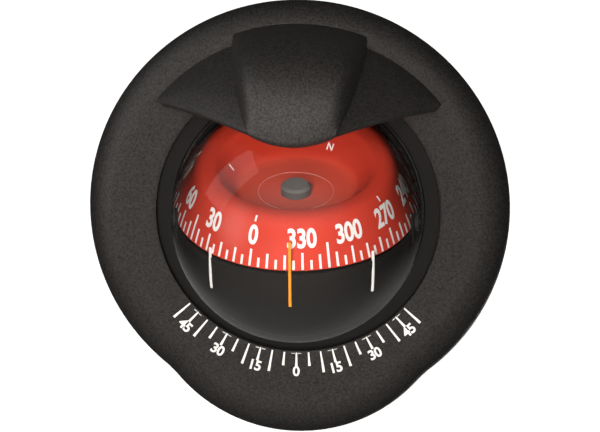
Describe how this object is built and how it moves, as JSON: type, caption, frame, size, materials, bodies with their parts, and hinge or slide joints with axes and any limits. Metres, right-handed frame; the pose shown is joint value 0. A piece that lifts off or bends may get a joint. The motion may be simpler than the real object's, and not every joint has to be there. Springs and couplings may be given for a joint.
{
  "type": "bulkhead steering compass",
  "caption": "Raked bulkhead steering compass: round black flange with a chin and sun visor, clear liquid-filled dome, gimballed bowl, red conical card, lubber lines and a heel scale.",
  "frame": {"origin": "where the barrel axis meets the face of the panel the compass is fixed to", "axes": "+X to the right seen from the front, +Y into the panel, +Z plumb up; the flange leans back 15 degrees, so the barrel axis points down and back from the origin, and the card is level at rest"},
  "size_m": [0.17, 0.1295, 0.1733],
  "materials": {
    "case_black": "fine spark-textured black moulding",
    "visor_black": "fine spark-textured black moulding",
    "gloss_black": "smooth black",
    "inner_black": "plain black moulding",
    "bowl_black": "satin black",
    "clear_dome": "clear polished acrylic",
    "rubber": "black rubber",
    "steel": "stainless, passivated",
    "brass": "turned",
    "magnet": "dull grey",
    "aluminium": "plain",
    "card_red": "satin red with white printed marks",
    "hub_grey": "dark grey",
    "orange": "satin orange",
    "white": "satin white",
    "foam": "closed-cell foam",
    "jewel_red": "polished synthetic sapphire",
    "led": "milky",
    "red_lens": "clear red"
  },
  "bodies": {
    "case": {"front_bezel": "case_black", "sun_visor": "visor_black", "visor_screws": "steel", "panel_gasket": "rubber", "fixing_inserts": "brass", "dome": "clear_dome", "dome_seal": "rubber", "clamp_ring": "gloss_black", "clamp_screws": "steel", "capsule_flange": "inner_black", "capsule_body": "inner_black", "bezel_screws": "steel", "expansion_diaphragm": "rubber", "diaphragm_cover": "inner_black", "diaphragm_screws": "steel", "filler_plug": "brass", "filler_seal": "rubber", "gimbal_bush": "brass", "pivot_cap": "inner_black", "pivot_cap_seal": "rubber", "rear_cover": "case_black", "rear_cover_screws": "steel", "lead_grommet": "rubber", "lamp_holder": "inner_black", "lamp_led": "led", "lamp_lens": "red_lens", "compensator_carrier": "inner_black"},
    "compensator_ns": {"compensator_rotor_ns": "brass", "compensator_magnet_ns": "magnet"},
    "compensator_ew": {"compensator_rotor_ew": "brass", "compensator_magnet_ew": "magnet"},
    "yoke": {"gimbal_yoke": "inner_black", "yoke_collar": "brass", "pitch_pins": "steel"},
    "bowl": {"gimbal_bowl": "bowl_black", "ballast_weight": "brass", "pivot_post": "brass", "pivot_needle": "steel", "lubber_line_centre": "orange", "lubber_line_port": "white", "lubber_line_starboard": "white"},
    "card": {"compass_card": "card_red", "card_hub": "hub_grey", "jewel_cup": "brass", "jewel": "jewel_red", "card_float": "foam", "magnet_carrier": "aluminium", "card_magnets": "magnet"}
  },
  "joints": [
    {"name": "heel", "type": "hinge", "parent": "case", "child": "yoke", "pos_m": [0, -0.02318, 0.00621], "axis": [0, -0.9659, 0.2588], "range_deg": [-50, 50]},
    {"name": "pitch", "type": "hinge", "parent": "yoke", "child": "bowl", "pos_m": [0, -0.02318, 0.00621], "axis": [1, 0, 0], "range_deg": [-30, 30]},
    {"name": "card_turn", "type": "hinge", "parent": "bowl", "child": "card", "pos_m": [0, -0.02318, 0.00621], "axis": [0, 0, 1], "continuous": true},
    {"name": "compensator_ns_turn", "type": "hinge", "parent": "case", "child": "compensator_ns", "pos_m": [-0.018, -0.02411, -0.07222], "axis": [0, 0.2588, 0.9659], "continuous": true},
    {"name": "compensator_ew_turn", "type": "hinge", "parent": "case", "child": "compensator_ew", "pos_m": [0.018, -0.02411, -0.07222], "axis": [0, 0.2588, 0.9659], "continuous": true}
  ]
}
